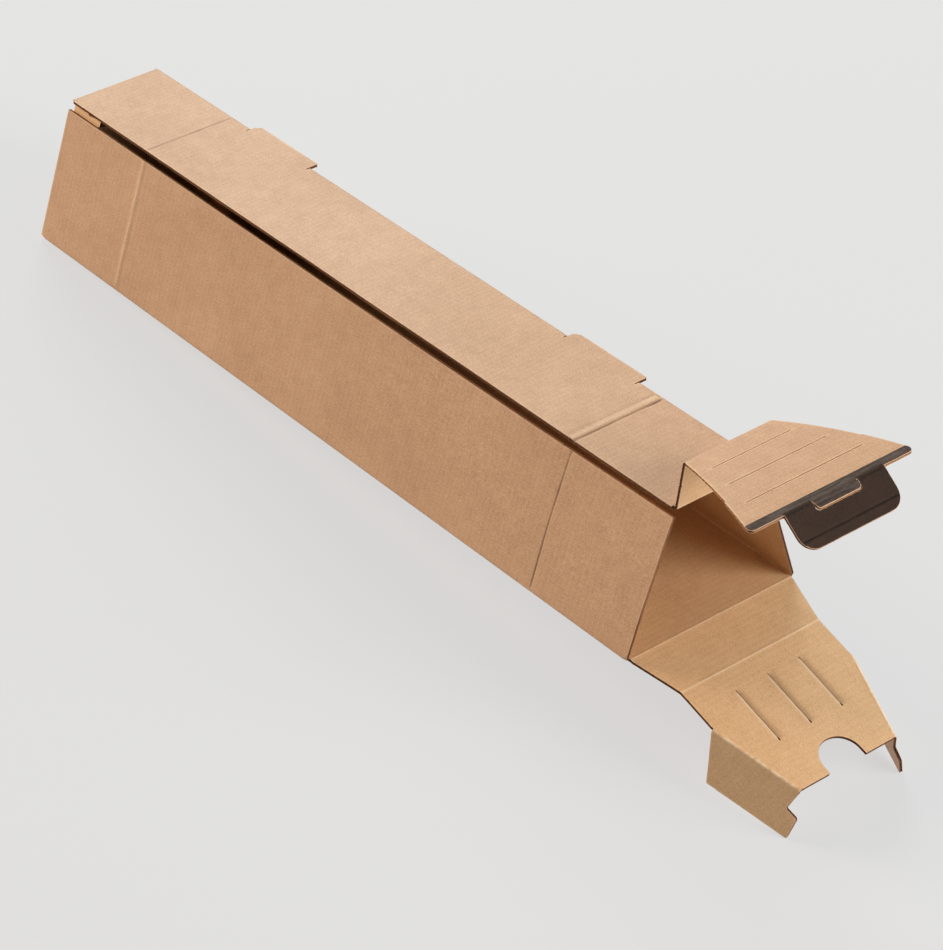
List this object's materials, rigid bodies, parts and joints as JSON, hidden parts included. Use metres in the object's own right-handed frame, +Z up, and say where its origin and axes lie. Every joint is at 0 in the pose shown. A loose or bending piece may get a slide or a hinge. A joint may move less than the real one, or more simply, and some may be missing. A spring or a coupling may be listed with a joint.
{
  "type": "trapezoid shipping box",
  "caption": "Folded corrugated kraft box with a trapezoid section for rolled sheets, closed at one end, with the other end's flaps turned out.",
  "frame": {"origin": "on the ground, below the middle of the propped box", "axes": "+X along the box from the closed end to the open end, +Y across it to the back, +Z up"},
  "size_m": [0.5912, 0.1068, 0.1651],
  "materials": {
    "kraft_board": "uncoated brown kraft",
    "brown_print": "dark brown print on kraft"
  },
  "bodies": {
    "sleeve": {"sleeve": "kraft_board"},
    "lid_riser": {"lid_riser": "kraft_board"},
    "lid_end_wall": {"lid_end_wall": "kraft_board"},
    "pull_tongue": {"pull_tongue": "brown_print"},
    "base_riser": {"base_riser": "kraft_board"},
    "base_end_wall": {"base_end_wall": "kraft_board"},
    "front_wing": {"front_wing": "kraft_board"},
    "back_wing": {"back_wing": "kraft_board"}
  },
  "joints": [
    {"name": "lid_riser_hinge", "type": "hinge", "parent": "sleeve", "child": "lid_riser", "pos_m": [0.1883, 0, 0.12104], "axis": [0, -1, 0], "range_deg": [-35, 90]},
    {"name": "lid_wall_fold", "type": "hinge", "parent": "lid_riser", "child": "lid_end_wall", "pos_m": [0.19138, 0, 0.14691], "axis": [0, -1, 0], "range_deg": [-20, 74]},
    {"name": "tongue_fold", "type": "hinge", "parent": "lid_end_wall", "child": "pull_tongue", "pos_m": [0.25773, 0, 0.1631], "axis": [0, -1, 0], "range_deg": [-40, 46]},
    {"name": "base_riser_hinge", "type": "hinge", "parent": "sleeve", "child": "base_riser", "pos_m": [0.19525, 0, 0.04335], "axis": [0, -1, 0], "range_deg": [-90, 20]},
    {"name": "base_wall_fold", "type": "hinge", "parent": "base_riser", "child": "base_end_wall", "pos_m": [0.22281, 0, 0.03968], "axis": [0, -1, 0], "range_deg": [-45, 15]},
    {"name": "front_wing_fold", "type": "hinge", "parent": "base_end_wall", "child": "front_wing", "pos_m": [0.24474, -0.044, 0.03467], "axis": [0.9342, 0.2857, -0.2136], "range_deg": [-70, 20]},
    {"name": "back_wing_fold", "type": "hinge", "parent": "base_end_wall", "child": "back_wing", "pos_m": [0.24474, 0.044, 0.03467], "axis": [-0.9342, 0.2857, 0.2136], "range_deg": [-70, 20]}
  ]
}
